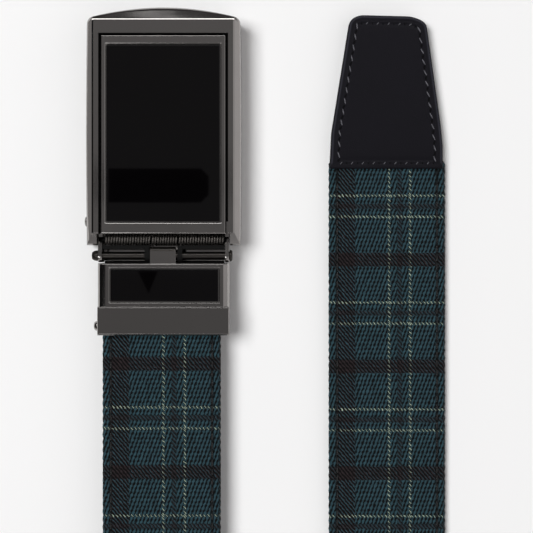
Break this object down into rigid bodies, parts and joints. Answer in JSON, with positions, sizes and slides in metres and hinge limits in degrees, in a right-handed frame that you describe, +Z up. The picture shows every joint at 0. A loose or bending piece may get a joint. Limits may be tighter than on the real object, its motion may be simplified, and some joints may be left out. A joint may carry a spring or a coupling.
{
  "type": "canvas belt with a ratchet buckle",
  "caption": "Tartan canvas belt: leather-tipped strap with a toothed track behind its free end, held by a hinged clamp on a sprung ratchet buckle with an inset face plate.",
  "frame": {"origin": "middle of the belt's footprint, on the surface that it lies on", "axes": "+Y from the loop to the two ends, +X from the buckle to the leather tip, +Z up off the front faces"},
  "size_m": [0.2304, 0.5328, 0.0381],
  "materials": {
    "canvas": "woven tartan canvas, dark teal and near-black with pale lines",
    "leather": "smooth near-black leather with grey stitching",
    "track": "moulded black plastic",
    "gunmetal": "polished black nickel plating",
    "spring_steel": "black nickel plated spring wire",
    "gloss_panel": "high gloss black enamel"
  },
  "bodies": {
    "root": {"strap": "canvas", "leather_tip": "leather", "ratchet_rack": "track", "clamp_body": "gunmetal", "clamp_panel": "gloss_panel", "clamp_flap": "gunmetal", "clamp_pin": "gunmetal"},
    "yoke": {"housing": "gunmetal", "hinge_pin": "gunmetal", "spring_axle": "gunmetal", "spring_left": "spring_steel", "spring_middle": "spring_steel", "spring_right": "spring_steel"},
    "casing": {"buckle_frame": "gunmetal", "face_plate": "gunmetal", "face_panel": "gloss_panel", "frame_pin": "gunmetal", "pawl": "gunmetal"}
  },
  "joints": [
    {"name": "buckle_hinge", "type": "hinge", "parent": "root", "child": "yoke", "pos_m": [-0.03608, 0.18627, 0.0099], "axis": [1, 0, 0], "range_deg": [0, 70]},
    {"name": "face_release", "type": "hinge", "parent": "yoke", "child": "casing", "pos_m": [-0.03608, 0.19737, 0.0079], "axis": [1, 0, 0], "range_deg": [0, 10], "stiffness_Nm_per_rad": 0.03, "springref_deg": -11.46}
  ]
}
